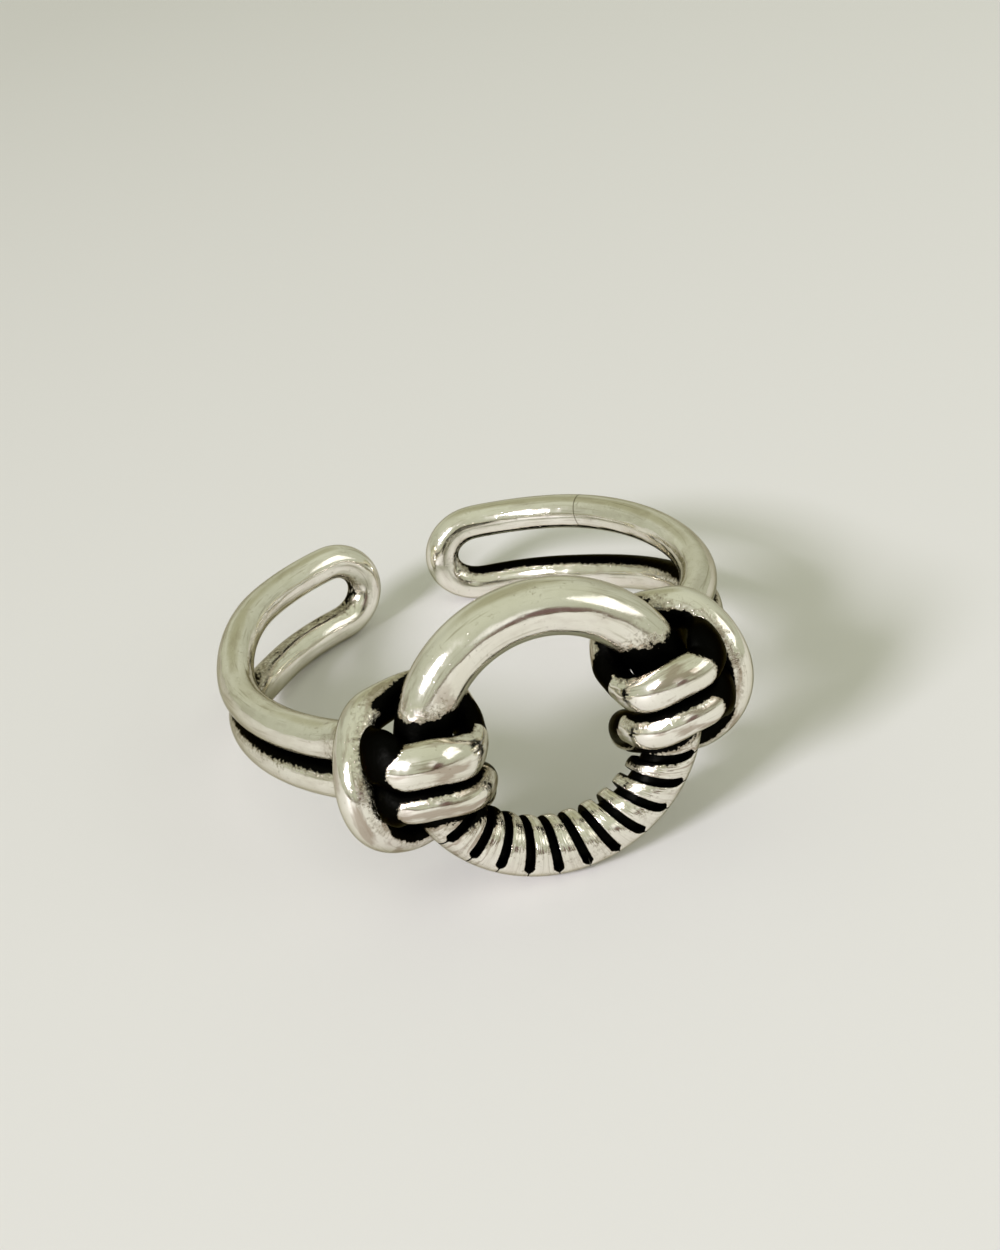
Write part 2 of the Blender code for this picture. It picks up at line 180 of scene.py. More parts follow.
BIGHT_RUBBED_V = (-1.3, -0.8)
STRANDS_RUBBED = ((0.9, 1.4), (-2.8, -2.4), (0.0, 0.4))         # inward, front, down, none to all

# Silver: colours, how much of each shows, and recess values
SILVER, SILVER_DULLER = (0.95, 0.92, 0.84, 1.0), (0.87, 0.84, 0.74, 1.0)
BLACK = (0.003, 0.003, 0.0025, 1.0)
EDGE_TINT = (0.48, 0.46, 0.36, 1.0)       # of reflections at a grazing angle
TARNISH, TARNISH_SHARE, TARNISH_FROM = (0.33, 0.27, 0.18, 1.0), 0.70, 0.02
GRIME, GRIME_SHARE = (0.40, 0.36, 0.25, 1.0), 0.45
STAIN, STAIN_SHARE = (0.36, 0.27, 0.20, 1.0), 0.55
STAIN_REACH, STAIN_FADE = 4.4, 1.6        # distance from a knot's middle where the stain has ended
STAIN_PLAIN = 0.25         # share of the stain found away from the knots
BLACK_EDGE = 0.012         # half of the recess values over which silver turns to black
GRIT, DRIFT = 0.30, 0.10   # how much noise moves the black's outline, fine and coarse
POLISH = (0.09, 0.20)      # roughness of the silver, at its smoothest and its dullest
BLACK_ROUGHER = 0.30
BUMP_HEIGHT = 0.00003
PITS_FROM = 0.04           # recess value from which small pits roughen the silver
WAVES_BUMP, FORGED_BUMP, FINE_BUMP, PITS_BUMP = 0.9, 1.1, 0.06, 0.6
# Scales of the noises, in features per metre, and of the streaks, as length and width in mm
GRIT_SCALE, DRIFT_SCALE, CLOUD_SCALE, POLISH_SCALE = 6500.0, 1300.0, 420.0, 2600.0
WAVES_SCALE, FINE_SCALE, PITS_SCALE = 700.0, 9000.0, 5200.0
GRIME_STREAK, STAIN_STREAK, FORGED_STREAK = (2.5, 0.12), (1.3, 0.42), (1.6, 0.45)
# Values of the noises between which each of them shows
CLOUD_VALUES, POLISH_VALUES = (0.35, 0.70), (0.3, 0.8)
GRIME_VALUES, STAIN_VALUES = (0.56, 0.72), (0.50, 0.64)
SEAM = 26.05               # along the right loop's strands, mm, where its wire was soldered
SEAM_SLANT = 0.15
SEAM_HALF, SEAM_FADED = 0.02, 0.045
SEAM_COLOUR, SEAM_SHARE = (0.12, 0.09, 0.04, 1.0), 0.65
BINDING_DARKER = 0.02      # recess value added all over the binding

# Studio, metres
FLOOR_HALF = 3.0
# Floor colours are painted light falloff: painted shade towards the far left, painted light towards
# the near right
FLOOR_SHADE_PAINTED, FLOOR_LIGHT_PAINTED = (0.635, 0.63, 0.60, 1.0), (0.78, 0.775, 0.76, 1.0)
PAINTED_FALLOFF_WAY = (2.0, -1.2, 0.0)            # the floor's painted light grows this way; painted shade lies the other way
PAINTED_FALLOFF_ENDS = (-0.2, 0.1)
FLOOR_ROUGHNESS = 0.65
ROOM = (0.49, 0.505, 0.40, 1.0)
CEILING = (0.60, 0.62, 0.49, 1.0)
BACK_WALL = (0.64, 0.66, 0.54, 1.0)
HIGH_AT_BACK = (0.40, 0.40, 0.27, 1.0)
BRIGHT_IN_FRONT = (0.92, 0.92, 0.87, 1.0)
DARK_IN_FRONT = (0.17, 0.11, 0.10, 1.0)
LOW_IN_FRONT = (0.15, 0.11, 0.08, 1.0)
BACKDROP = (0.60, 0.62, 0.55, 1.0)

# Camera, in the band frame
CAMERA_PLACE = (-10.251, -52.991, 26.591)
CAMERA_FORWARD = (0.16069, 0.91009, -0.38199)
CAMERA_UP = (0.28864, 0.32677, 0.89995)
CAMERA_LENS = 32.503
CAMERA_SENSOR = 24.0
CAMERA_CLIP = 0.001


# ---------------------------------------------------------------- curves

def ease(t):
    t = np.clip(t, 0.0, 1.0)
    return t * t * (3.0 - 2.0 * t)


def rise(value, start, end):
    """0 before start, 1 past end, smooth between them; start may be the larger one."""
    return ease((value - start) / (end - start))


def edge(beyond, width):
    """0 well before an edge, 1 well beyond it, one half on it."""
    return ease(0.5 + beyond / width)


def unit(rows):
    return rows / np.linalg.norm(rows, axis=-1, keepdims=True)


def smooth_route(keys):
    """Catmull-Rom curve through the rows of keys."""
    keys = np.asarray(keys, float)
    keys = np.vstack([2 * keys[0] - keys[1], keys, 2 * keys[-1] - keys[-2]])
    t = np.linspace(0.0, 1.0, KEY_POINTS, endpoint=False)[:, None]
    rows = []
    for i in range(1, len(keys) - 2):
        a, b, c, d = keys[i - 1:i + 3]
        rows.append(0.5 * (2 * b + (c - a) * t + (2 * a - 5 * b + 4 * c - d) * t ** 2
                           + (3 * b - a - 3 * c + d) * t ** 3))
    rows.append(keys[-2][None])
    return np.vstack(rows)


def even_stations(route):
    """The same route at even distances, each row averaged with its neighbours."""
    lengths = np.linalg.norm(np.diff(route[:, :3], axis=0), axis=1)
    along = np.concatenate([[0.0], np.cumsum(lengths)])
    at = np.linspace(0.0, along[-1], int(along[-1] / STATION_STEP) + 1)
    rows = np.column_stack([np.interp(at, along, column) for column in route.T])
    for _ in range(EVEN_PASSES):
        rows[1:-1] = (rows[:-2] + 2.0 * rows[1:-1] + rows[2:]) / 4.0
    return rows


def grain_of(rings):
    """Coordinates for marks that follow a wire: length along it, then round its middle."""
    middles = np.array([ring.mean(axis=0) for ring in rings])
    along = np.concatenate([[0.0], np.cumsum(np.linalg.norm(np.diff(middles, axis=0), axis=1))])
    turn = np.arange(len(rings[0])) * 2.0 * math.pi / len(rings[0])
    rows = [np.column_stack([np.full_like(turn, s), np.cos(turn), np.sin(turn)]) for s in along]
    return np.vstack(rows)


def skin(rings, closed):
    """Vertices, faces and grain coordinates of a tube through the rings."""
    count, sides = len(rings), len(rings[0])
    verts = np.vstack(rings)
    faces = []
    for i in range(count if closed else count - 1):
        j = (i + 1) % count
        for k in range(sides):
            m = (k + 1) % sides
            faces.append((i * sides + k, i * sides + m, j * sides + m, j * sides + k))
    if not closed:
        faces.append(tuple(range(sides - 1, -1, -1)))
        faces.append(tuple(range((count - 1) * sides, count * sides)))
    return verts, faces, grain_of(rings)


def sweep(route, normals, half_width, half_thick):
    """Elliptical wire along a route: half_thick lies along the normals, half_width across."""
    tangents = unit(np.gradient(route, axis=0))
    across = unit(np.cross(tangents, normals))
    normals = np.cross(across, tangents)
    angles = np.arange(STRAND_SIDES) * 2.0 * math.pi / STRAND_SIDES
    rings = []
    for p, n, b, w, t in zip(route, normals, across, half_width, half_thick):
        rings.append(p + np.outer(np.cos(angles) * t, n) + np.outer(np.sin(angles) * w, b))
    return skin(rings, closed=False)


# ---------------------------------------------------------------- band frame and pieces

def knot_matrix(shape):
    """Knot frame to band frame."""
    side, yaw, roll = shape["side"], math.radians(KNOT_YAW), math.radians(shape["roll"])
    u = np.array([side * math.cos(yaw), math.sin(yaw), 0.0])
    v = np.array([side * math.sin(yaw), -math.cos(yaw), 0.0])
    turn = np.array([[math.cos(roll), 0.0, -math.sin(roll)], [0.0, 1.0, 0.0],
                     [math.sin(roll), 0.0, math.cos(roll)]])
    matrix = np.eye(4)
    matrix[:3, 0], matrix[:3, 1], matrix[:3, 2] = turn @ u, turn @ v, turn @ [0.0, 0.0, 1.0]
    matrix[:3, 3] = turn @ [side * RING_RADIUS, 0.0, 0.0]
    return matrix


def to_band(points, shape):
    matrix = knot_matrix(shape)
    return points @ matrix[:3, :3].T + matrix[:3, 3]


def to_knot(points, shape):
    matrix = knot_matrix(shape)
    return (points - matrix[:3, 3]) @ matrix[:3, :3]


def band_matrix():
    """Band frame, in mm, to the world, in metres."""
    turn = (Matrix.Rotation(math.radians(REST_ROLL), 4, "Y")
            @ Matrix.Rotation(math.radians(-REST_TILT), 4, "X"))
    joint = next(j for j in frame["joints"] if j["child"] == "left_side")
    knot = Vector(knot_matrix(LEFT)[:3, 3]) * MM
    place = Vector(joint["pos_m"]) - turn @ knot
    return Matrix.Translation(place) @ turn


BAND = band_matrix()
BAND_ROWS = np.array(BAND)


def to_world(points):
    return points @ BAND_ROWS[:3, :3].T * MM + BAND_ROWS[:3, 3]


def make_piece(name, tube, body):
    """A piece drawn in the band frame, placed in the world and riding on a CAD body."""
    verts, faces, grain = tube
    mesh = bpy.data.meshes.new(name)
    mesh.from_pydata([tuple(v) for v in to_world(verts)], [], faces)
    mesh.update()
    mesh.shade_smooth()
    attribute = mesh.attributes.new("grain", "FLOAT_VECTOR", "POINT")
    attribute.data.foreach_set("vector", grain.astype(np.float32).ravel())
    piece = bpy.data.objects.new(name, mesh)
    bpy.context.collection.objects.link(piece)
    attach(piece, body)
    return piece


# ---------------------------------------------------------------- centre ring and binding

def ring_point(angle, tube_angle, radius):
    """Point on or in the centre ring's wire, in the band frame."""
    a, b = math.radians(angle), math.radians(tube_angle)
    out = RING_RADIUS + radius * math.cos(b)
    return (out * math.cos(a), -radius * math.sin(b), out * math.sin(a))


def centre_ring():
    """Round wire, thinned to a core where it is bound."""
    rings = []
    for angle in np.arange(RING_STATIONS) * 360.0 / RING_STATIONS:
        into = rise(angle, NECK_START, NECK_START + NECK_SLOPE)
        into *= rise(angle, NECK_END, NECK_END - NECK_SLOPE)
        radius = RING_WIRE_R + (CORE_R - RING_WIRE_R) * into
        sides = np.arange(RING_SIDES) * 360.0 / RING_SIDES
        rings.append(np.array([ring_point(angle, -b, radius) for b in sides]))
    piece = make_piece("centre_ring_wire", skin(rings, closed=True), "centre")
    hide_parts("centre_ring")
    return piece


def binding_section(rounded):
    """Half section of the flat wire, as (across, radius) from its middle to its root.

    rounded is 0 where the grooves are closed, and 1 where they are open and its corners round.
    """
    crown = BIND_CROWN * (BIND_SHOULDER_R - BIND_OUTER_R) * rounded
    half = [(t * BIND_TOP, BIND_OUTER_R + crown * t ** BIND_CROWN_POWER)
            for t in np.linspace(0.0, 1.0, BIND_TOP_KEYS)]
    top_edge = half[-1][1]
    for t in np.linspace(0.0, 1.0, BIND_CORNER_KEYS + 1)[1:]:
        corner = t * math.pi / 2.0
        fall = BIND_CORNER_FALL * rounded * (1 - math.cos(corner)) + BIND_CORNER_LEAST * t
        half.append((BIND_TOP + (1.0 - BIND_TOP) * math.sin(corner), top_edge - fall))
    half.append((1.0, BIND_ROOT_R))
    return half


def pressed_in(angle, tube_angle):
    """How far a turn is pressed in at a place: behind the ring, near the knots."""
    near_knot = rise(angle, *PRESSED_LEFT) + rise(angle, *PRESSED_RIGHT)
    return PRESSED * near_knot * rise(-math.sin(math.radians(tube_angle)), *PRESSED_FACING)


def binding_wire():
    """One flat wire in a spiral round the core; its grooves close on the ring's outside."""
    rings = []
    for turn in np.linspace(BIND_START, BIND_END, int((BIND_END - BIND_START) * BIND_STEPS)):
        tube_angle = BIND_PHASE - 360.0 * turn
        lean = BIND_LEAN_FIRST + BIND_LEAN_STEP * turn
        middle = BIND_FIRST + BIND_PITCH * turn + lean * math.sin(math.radians(360.0 * turn))
        off_outside = abs((tube_angle + 180.0) % 360.0 - 180.0)
        opened = max(0.0, min(1.0, (off_outside - BIND_CLOSES) / (BIND_OPENS - BIND_CLOSES)))
        gap = BIND_GAP_CLOSED + (BIND_GAP - BIND_GAP_CLOSED) * math.sqrt(opened * (2.0 - opened))
        half_section = binding_section(ease(opened * BIND_ROUNDS_SOONER))
        section = half_section[::-1] + [(-a, r) for a, r in half_section[1:]]
        ring = []
        for across, radius in section:
            reach = RING_RADIUS + radius * math.cos(math.radians(tube_angle))
            half = BIND_PITCH / 2.0 - math.degrees(gap / 2.0 / reach)
            angle = middle + across * half
            ring.append(ring_point(angle, tube_angle, radius - pressed_in(angle, tube_angle)))
        rings.append(np.array(ring))
    piece = make_piece("binding_turns", skin(rings, closed=False), "centre")
    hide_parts("binding_wire")
    return piece


# ---------------------------------------------------------------- hitched loops

def band_point(shape, angle):
    """Middle of the shank at a band angle, and the direction away from the finger."""
    t = (angle - BEND_FROM) / BEND_SCALE
    c0, c1, c2, c3 = shape["bend"]
    radius = c0 + c1 * t + c2 * t * t + c3 * t ** 3
    away = np.column_stack([-shape["side"] * np.cos(np.radians(angle)), np.sin(np.radians(angle)),
                            np.zeros_like(angle)])
    return away * radius[:, None] + [0.0, BAND_CENTRE_Y, 0.0], away


def on_wrap(shape, around, height, sign):
    """Points in the knot frame beside the ring's curved wire, and the way out from it."""
    turned = np.degrees(around)
    behind = rise(turned, -180.0, WRAP_BEHIND_BY)
    inner = rise(np.abs(turned + 180.0), WRAP_HUG_WITHIN, 0.0)
    hug = shape["hug"][0 if sign > 0 else 1]
    bulge = np.sin(around - math.radians(WRAP_BULGE_TURN)) * (turned < WRAP_BULGE_FROM)
    radius = (WRAP_R + (WRAP_BEHIND_R - WRAP_R) * behind + (hug - WRAP_R) * inner
              + shape["skew"] * np.maximum(bulge, 0.0))
    reach = RING_RADIUS + radius * np.cos(around)
    along = np.arcsin(height / reach)
    points = np.column_stack([reach * np.cos(along) - RING_RADIUS, radius * np.sin(around), height])
    out = np.column_stack([np.cos(around) * np.cos(along), np.sin(around),
                           np.cos(around) * np.sin(along)])
    return points, out


def wrap_lift(shape, around, sign):
    """Rise of a wrap over the front, and of the upper one's shoulder under the bight."""
    before_back = around < -math.pi
    lift = shape["lift"] * ease(1.0 + np.cos(around)) * before_back
    if sign > 0:
        lift = lift + SHOULDER_UP * rise(np.cos(around), *SHOULDER_COSINES) * before_back
    return lift


def wrap_half(shape, sign):
    """One strand in the knot frame, from behind the ring's wire round to its outer side."""
    around = np.radians(np.linspace(WRAP_BEGIN, WRAP_END, WRAP_KEYS))
    to_go = 1.0 - np.clip((WRAP_DROP_FROM - np.degrees(around)) / WRAP_DROP_OVER, 0.0, 1.0)
    drop = 1.0 - to_go ** 3
    height = sign * (shape["behind"] + (WRAP_Z - shape["behind"]) * drop)
    points, out = on_wrap(shape, around, height + wrap_lift(shape, around, sign), sign)
    tilt = np.radians(shape["tilts"][0 if sign > 0 else 1]) * rise(np.sin(around), *TILT_SINES)
    out = out * np.cos(tilt)[:, None] + np.outer(np.sin(tilt), [0.0, 0.0, 1.0])
    return points, out


def shank_half(shape, sign):
    """One strand of the shank in the band frame, from the knot to the hairpin's turn."""
    angle = np.linspace(JOIN_ANGLE, shape["tip"], SHANK_KEYS)
    points, away = band_point(shape, angle)
    opened = ease((shape["opens"] - angle) / shape["spread"])
    lift = shape["rise"] * rise(angle, JOIN_ANGLE, shape["tip"])
    points[:, 2] = lift + sign * (STRAND_Z + (shape["slot"] - STRAND_Z) * opened)
    return points, away


def tip_turn(shape):
    """The hairpin's turn in the band frame."""
    around = np.linspace(math.pi / 2, -math.pi / 2, TIP_KEYS)
    reach = np.degrees(shape["slot"] * np.cos(around) / (shape["bend"][0] - TIP_CLOSER))
    points, away = band_point(shape, shape["tip"] - reach)
    points[:, 2] = shape["rise"] + shape["slot"] * np.sin(around)
    return points, away


def easy_bend(before, start, end, after):
    """Points from start to end that leave and arrive in the directions of their neighbours."""
    reach = np.linalg.norm(end - start)
    leave, arrive = reach * unit(start - before), reach * unit(after - end)
    t = np.linspace(0.0, 1.0, BEND_KEYS + 2)[1:-1, None]
    return (start * (2 * t ** 3 - 3 * t ** 2 + 1) + leave * (t ** 3 - 2 * t ** 2 + t)
            + end * (3 * t ** 2 - 2 * t ** 3) + arrive * (t ** 3 - t ** 2))


def loop_strands(shape):
    """Both strands in one run: from behind the ring, over a wrap, to the tip and back."""
    halves = []
    matrix = knot_matrix(shape)
    share = np.linspace(0.0, 1.0, BEND_KEYS + 2)[1:-1, None]
    for sign in (1.0, -1.0):
        wrap, out = wrap_half(shape, sign)
        wrap, out = to_band(wrap, shape)[:-1], (out @ matrix[:3, :3].T)[:-1]
        shank, away = shank_half(shape, sign)
        bend = easy_bend(wrap[-2], wrap[-1], shank[0], shank[1])
        turning = unit(out[-1] * (1.0 - share) + away[0] * share)
        keys = np.vstack([wrap, bend, shank])
        halves.append(np.column_stack([keys, np.vstack([out, turning, away])]))
    turn = np.column_stack(tip_turn(shape))[1:-1]
    return smooth_route(np.vstack([halves[0], turn, halves[1][::-1]]))


def off_ring(points):
    """Directions straight away from the middle of the centre ring's wire."""
    flat = points * [1.0, 0.0, 1.0]
    return unit(points - unit(flat) * RING_RADIUS)


def bight_route(shape):
    """The closed end of the loop: a C outside the ring, its ends behind the ring's wire."""
    quarter = np.radians(np.linspace(0.0, 90.0, BIGHT_CORNER_KEYS))
    u = BIGHT_SHOULDER_U + (BIGHT_REACH - BIGHT_SHOULDER_U) * np.cos(quarter)
    v = shape["forward"] + (BIGHT_SHOULDER_V - shape["forward"]) * ease(quarter / quarter[-1])
    z = BIGHT_HALF_HEIGHT * np.sin(quarter)
    turning = on_wrap(shape, np.radians([BIGHT_TURN]), np.array([BIGHT_HALF_HEIGHT]), 1.0)[0]
    on_strand = wrap_half(shape, 1.0)[0][0:4:3]
    half = np.vstack([np.column_stack([u, v, z]), turning, on_strand])
    return smooth_route(to_band(np.vstack([(half * [1.0, 1.0, -1.0])[:0:-1], half]), shape))


def strands_mesh(shape):
    """The strands' tube: wide and flat on the wraps, round from the knot on."""
    run = even_stations(loop_strands(shape))
    route, normals = run[:, :3], unit(run[:, 3:])
    u, v, _ = to_knot(route, shape).T
    near = 1.0 - rise(np.hypot(u, v) - WRAP_R, KNOT_NEAR, KNOT_FAR)
    upper = np.arange(len(route)) < len(route) / 2
    thick = (STRAND_R + (WRAP_HALF_THICK - STRAND_R) * near
             + (WRAP_INNER_THICK - WRAP_HALF_THICK) * near * rise(-u, *INNER_SIDE)
             + (WRAP_BEHIND_THICK - WRAP_HALF_THICK) * near * rise(-v, *BACK_SIDE) * upper)
    in_front = np.where(upper, *shape["widths"]) - WRAP_BEHIND_HALF_WIDTH
    width = (WRAP_BEHIND_HALF_WIDTH + in_front * rise(v, *FRONT_SIDE)
             + SHOULDER_WIDER * rise(u, *SHOULDER_U) * rise(v, *SHOULDER_V))
    return sweep(route, normals, STRAND_R + (width - STRAND_R) * near, thick)


def bight_mesh(shape):
    """The bight's tube, thinned towards its soldered ends."""
    route = even_stations(bight_route(shape))
    ends = np.abs(np.linspace(-1.0, 1.0, len(route)))
    tail = BIGHT_TAIL * rise(ends, BIGHT_TAIL_FROM, 1.0)
    thick = BIGHT_R + (WRAP_HALF_THICK - BIGHT_R) * rise(ends, *BIGHT_THINS) - tail
    return sweep(route, off_ring(route), BIGHT_R - tail, thick)


def hitched_loop(name, shape, body):
    """Both pieces of a loop, each with its functions for mark_recesses."""
    strands = make_piece(name + "_wire", strands_mesh(shape), body)
    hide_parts(name)
    bight = make_piece(name + "_end", bight_mesh(shape), body)
    return {strands: (lambda points, normals: kept_black_strands(points, normals, shape),
                      lambda points: rubbed_strands(points, shape)),
            bight: (lambda points, normals: kept_black_bight(points, normals, shape),
                    lambda points: rubbed_bight(points, shape))}


# ---------------------------------------------------------------- dark recesses

def ring_angle(points):
    return np.degrees(np.arctan2(points[:, 2], points[:, 0])) % 360.0


def kept_black_ring(points, normals):
    """On the centre ring: a collar above each knot."""
    angle = ring_angle(points)
    off = off_ring(points)
    outward = (off * unit(points * [1.0, 0.0, 1.0])).sum(axis=1)
    tube_angle = np.degrees(np.arctan2(-off[:, 1], outward)) % 360.0
    reach = COLLAR + COLLAR_INNER * rise(tube_angle, *COLLAR_SIDE)
    kept = np.zeros(len(points))
    for above in (180.0 + LEFT["roll"] - angle, angle - RIGHT["roll"]):
        kept = np.maximum(kept, (above > 0.0) * edge(reach - above, COLLAR_EDGE))
    return kept


def kept_black_binding(points, normals):
    """On the binding: its ends beside the knots."""
    angle = ring_angle(points)
    first, last = BINDING_BLACK
    return np.maximum(edge(first - angle, BINDING_EDGE), edge(angle - last, BINDING_EDGE))


def kept_black_strands(points, normals, shape):
    """On the strands: the wraps' outer side under the bight, and the faces inside the slot."""
    u, v, z = to_knot(points, shape).T
    around = np.degrees(np.arctan2(v, u))
    off_middle = np.abs(np.abs(z - shape["lift"]) - WRAP_Z)
    end = shape["wrap_black"] + WRAP_BLACK_CURVE * (off_middle / WRAP_HALF_WIDTH) ** 2
    at_knot = rise(np.hypot(u, v), KNOT_SIZE, KNOT_INSIDE) * (np.abs(z) < KNOT_SIZE)
    under_bight = at_knot * edge(end - around, WRAP_BLACK_EDGE) * rise(v, *UNDER_BIGHT_V)
    above = points[:, 2] > 0.5 * shape["rise"]
    facing = np.where(above, -normals[:, 2], normals[:, 2])
    beyond = facing - np.where(above, *shape["slot_black"])
    in_slot = (v < SLOT_BEHIND) * edge(beyond, SLOT_EDGE)
    return np.maximum(under_bight, in_slot)


def kept_black_bight(points, normals, shape):
    """On the bight: the side that faces the knot, and more of it where it goes behind the ring."""
    local = to_knot(points, shape)
    facing = -((normals @ knot_matrix(shape)[:3, :3]) * unit(local)).sum(axis=1)
    up = local[:, 2]
    top = BIGHT_TOP_MORE * ease((up - shape["bight_back"]) / BIGHT_TOP_FADE)
    low = BIGHT_LOW_MORE * rise(-up, *BIGHT_LOW)
    beyond = facing - shape["bight_black"] + top + low
    halo = BIGHT_HALO * edge(beyond + BIGHT_HALO_OUT, BIGHT_HALO_EDGE)
    return np.maximum(edge(beyond, BIGHT_EDGE), halo)


def rubbed_bight(points, shape):
    """Where the bight is polished however deep it lies: its front."""
    return rise(to_knot(points, shape)[:, 1], *BIGHT_RUBBED_V)


def rubbed_strands(points, shape):
    """Where the strands are polished: the lower one, low on the inner side of the ring's wire."""
    u, v, z = to_knot(points, shape).T
    inward, front, down = STRANDS_RUBBED
    return rise(-u, *inward) * rise(v, *front) * rise(-z, *down)


def rubbed_nowhere(points):
    return np.zeros(len(points))


def stained(points):
    """1 on and around the knots, where the polish has left brown stains, 0 away from them."""
    near = np.zeros(len(points))
    for shape in (LEFT, RIGHT):
        away = np.linalg.norm(points - knot_matrix(shape)[:3, 3], axis=1)
        near = np.maximum(near, ease((STAIN_REACH - away) / STAIN_FADE))
    return near


def hemisphere(count):
    """Directions spread over a hemisphere about +z, denser towards its top."""
    i = np.arange(count) + 0.5
    height = np.sqrt(1.0 - i / count)
    ring = np.sqrt(1.0 - height ** 2)
    turn = i * math.pi * (3.0 - math.sqrt(5.0))
    return np.column_stack([ring * np.cos(turn), ring * np.sin(turn), height])


def read_rows(collection, key):
    rows = np.empty(len(collection) * 3)
    collection.foreach_get(key, rows)
    return rows.reshape(-1, 3)


def closed_off(tree, points, normals):
    """Share of each point's outlook that the surfaces in the tree close off, 0 to 1."""
    level = np.abs(normals[:, 2:]) < MOSTLY_LEVEL
    not_along = np.where(level, [[0.0, 0.0, 1.0]], [[1.0, 0.0, 0.0]])
    side = unit(np.cross(not_along, normals))
    other = np.cross(normals, side)
    starts = (points + normals * RAY_START).tolist()
    closed = np.zeros(len(points))
    for a, b, c in hemisphere(RAYS):
        ways = (side * a + other * b + normals * c).tolist()
        for i, (start, way) in enumerate(zip(starts, ways)):
            distance = tree.ray_cast(start, way, RAY_REACH)[3]
            if distance is not None:
                closed[i] += 1.0 - RAY_FADE * distance / RAY_REACH
    return closed / RAYS


def store(mesh, name, values):
    attribute = mesh.attributes.new(name, "FLOAT", "POINT")
    attribute.data.foreach_set("value", values.astype(np.float32))


def mark_recesses(pieces):
    """Store on each vertex how far it lies in a recess, and how stained it is, 0 to 1.

    pieces maps each piece to two functions of where it is: kept black besides, and rubbed clean.
    """
    points, faces, parts = [], [], []
    start = 0
    for piece, marks in pieces.items():
        mesh = piece.data
        co = read_rows(mesh.vertices, "co") / MM
        points.append(co)
        faces += [[start + v for v in polygon.vertices] for polygon in mesh.polygons]
        parts.append((mesh, co, read_rows(mesh.vertex_normals, "vector"), marks))
        start += len(co)
    tree = BVHTree.FromPolygons([tuple(p) for p in np.vstack(points)], faces)
    turn, origin = BAND_ROWS[:3, :3], BAND_ROWS[:3, 3] / MM
    for mesh, co, normals, (kept, rubbed) in parts:
        in_band = (co - origin) @ turn
        recess = closed_off(tree, co, normals)
        recess += (np.minimum(recess, RUBBED_RECESS) - recess) * rubbed(in_band)
        recess = np.maximum(recess, KEPT_RECESS * kept(in_band, normals @ turn))
        store(mesh, "recess", recess)
        store(mesh, "stain", stained(in_band))


# ---------------------------------------------------------------- materials

class Graph:
    """Short calls that add nodes to a node tree, and give back the socket of their result.

    A value handed in may be another node's socket or a constant.
    """

    def __init__(self, tree):
        self.nodes, self.links = tree.nodes, tree.links

    def add(self, kind, **settings):
        node = self.nodes.new("ShaderNode" + kind)
        for key, value in settings.items():
            setattr(node, key, value)
        return node

    def feed(self, socket, value):
        if isinstance(value, bpy.types.NodeSocket):
            self.links.new(value, socket)
        else:
            socket.default_value = value

    def noise(self, where, scale, detail, roughness=0.6):
        node = self.add("TexNoise")
        self.feed(node.inputs["Vector"], where)
        self.feed(node.inputs["Scale"], scale)
        self.feed(node.inputs["Detail"], detail)
        self.feed(node.inputs["Roughness"], roughness)
        return node.outputs["Fac"]

    def maths(self, operation, *values):
        node = self.add("Math", operation=operation)
        for socket, value in zip(node.inputs, values):
            self.feed(socket, value)
        return node.outputs[0]

    def centred(self, noise, amount):
        """Noise as a shift up or down."""
        return self.maths("MULTIPLY", self.maths("SUBTRACT", noise, 0.5), amount)

    def stretched(self, vector, factors):
        node = self.add("VectorMath", operation="MULTIPLY")
        self.feed(node.inputs[0], vector)
        self.feed(node.inputs[1], factors)
        return node.outputs["Vector"]

    def along(self, vector, direction):
        node = self.add("VectorMath", operation="DOT_PRODUCT")
        self.feed(node.inputs[0], vector)
        self.feed(node.inputs[1], direction)
        return node.outputs["Value"]

    def part(self, vector, axis):
        node = self.add("SeparateXYZ")
        self.feed(node.inputs[0], vector)
        return node.outputs[axis]

    def between(self, value, low, high, out_low=0.0, out_high=1.0, interpolation="SMOOTHSTEP"):
        node = self.add("MapRange", interpolation_type=interpolation)
        self.feed(node.inputs["Value"], value)
        self.feed(node.inputs["From Min"], low)
        self.feed(node.inputs["From Max"], high)
        self.feed(node.inputs["To Min"], out_low)
        self.feed(node.inputs["To Max"], out_high)
        return node.outputs["Result"]

    def blend(self, amount, under, over):
        node = self.add("Mix", data_type="RGBA")
        self.feed(node.inputs["Factor"], amount)
        for socket, value in zip([s for s in node.inputs if s.type == "RGBA"], (under, over)):
            self.feed(socket, value)
        return [s for s in node.outputs if s.type == "RGBA"][0]


